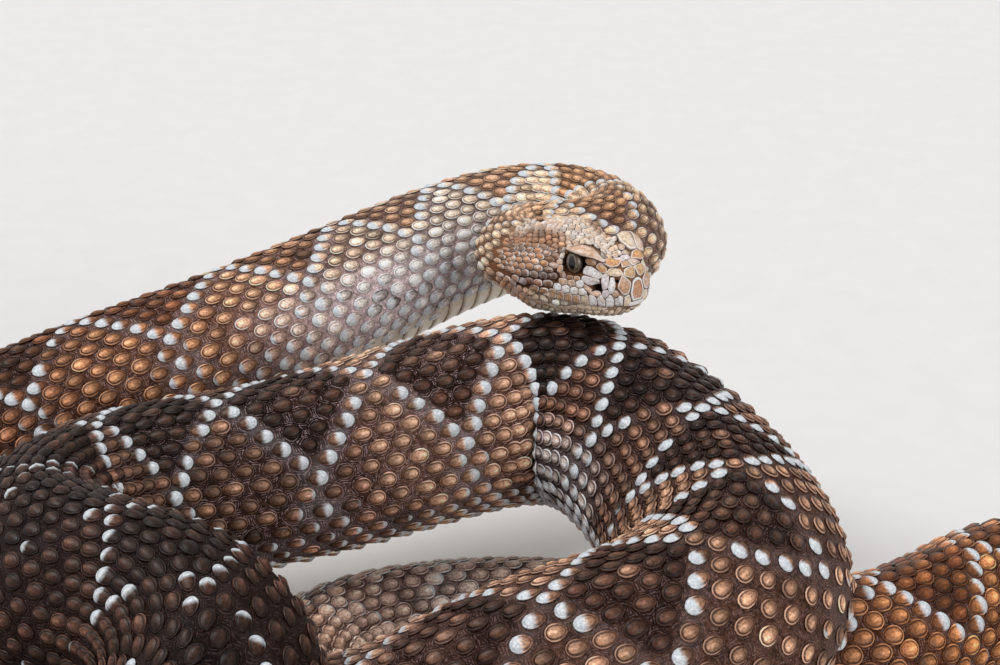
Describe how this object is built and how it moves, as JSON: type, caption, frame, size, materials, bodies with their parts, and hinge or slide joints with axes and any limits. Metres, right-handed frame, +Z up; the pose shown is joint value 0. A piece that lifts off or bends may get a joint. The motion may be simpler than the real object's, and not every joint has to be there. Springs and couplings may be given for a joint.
{
  "type": "coiled rattlesnake",
  "caption": "Life-size still rattlesnake lying in an open coil on the floor, its head resting on its own middle coil, with diamond back markings and a rattle on the tail.",
  "frame": {"origin": "on the floor, under the middle of the whole coil's bounding box", "axes": "+Z up from the floor; +X towards the tail's loop, the long way of the coil; +Y behind the animal, away from the side its head faces"},
  "size_m": [0.4535, 0.3009, 0.1386],
  "materials": {
    "skin_head": "keratin scales, satin, tan with brown temple stripe and white lip scales",
    "skin_body": "keeled keratin scales, satin, brown with white-tipped diamond outlines",
    "eye": "glossy, olive grey iris with a black upright pupil",
    "rattle": "dry horn, straw brown, satin"
  },
  "bodies": {
    "root": {"head": "skin_head", "eye_right": "eye", "eye_left": "eye", "neck": "skin_body", "trunk_01": "skin_body", "trunk_02": "skin_body", "trunk_03": "skin_body", "trunk_04": "skin_body", "trunk_05": "skin_body", "trunk_06": "skin_body", "trunk_07": "skin_body", "trunk_08": "skin_body", "trunk_09": "skin_body", "trunk_10": "skin_body", "trunk_11": "skin_body", "trunk_12": "skin_body", "trunk_13": "skin_body", "trunk_14": "skin_body", "trunk_15": "skin_body", "trunk_16": "skin_body", "trunk_17": "skin_body", "trunk_18": "skin_body", "trunk_19": "skin_body", "trunk_20": "skin_body", "trunk_21": "skin_body", "trunk_22": "skin_body", "tail_01": "skin_body", "tail_02": "skin_body", "rattle": "rattle"}
  },
  "joints": []
}
